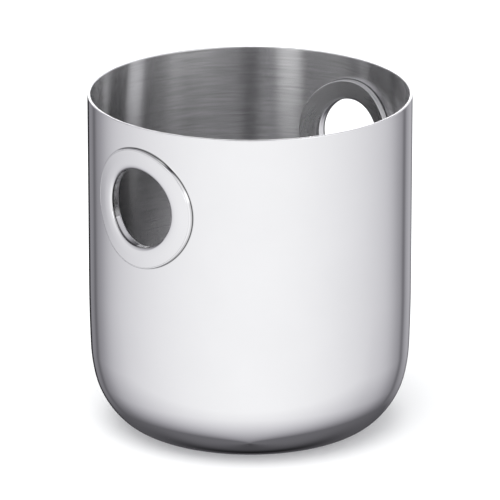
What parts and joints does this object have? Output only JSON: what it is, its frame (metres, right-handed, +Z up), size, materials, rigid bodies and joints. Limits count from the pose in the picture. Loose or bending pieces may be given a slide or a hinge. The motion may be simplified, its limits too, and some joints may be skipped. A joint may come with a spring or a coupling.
{
  "type": "champagne bucket",
  "caption": "Round stainless steel champagne bucket with a straight polished wall, a rounded base corner and round ring eyelets through the wall as grips.",
  "frame": {"origin": "middle of the base plane that the bucket stands on", "axes": "+Z up along the bucket's axis, with the grip eyelets on -X (left) and +X (right)"},
  "size_m": [0.2044, 0.2, 0.212],
  "materials": {
    "shell_steel": "stainless steel, mirror polished outside, fine circular brushing inside",
    "ring_steel": "stainless steel, mirror polished",
    "inner_ring_steel": "stainless steel, satin polished"
  },
  "bodies": {
    "root": {"bucket_shell": "shell_steel", "left_outer_ring": "ring_steel", "left_inner_ring": "inner_ring_steel", "right_outer_ring": "ring_steel", "right_inner_ring": "inner_ring_steel"}
  },
  "joints": []
}
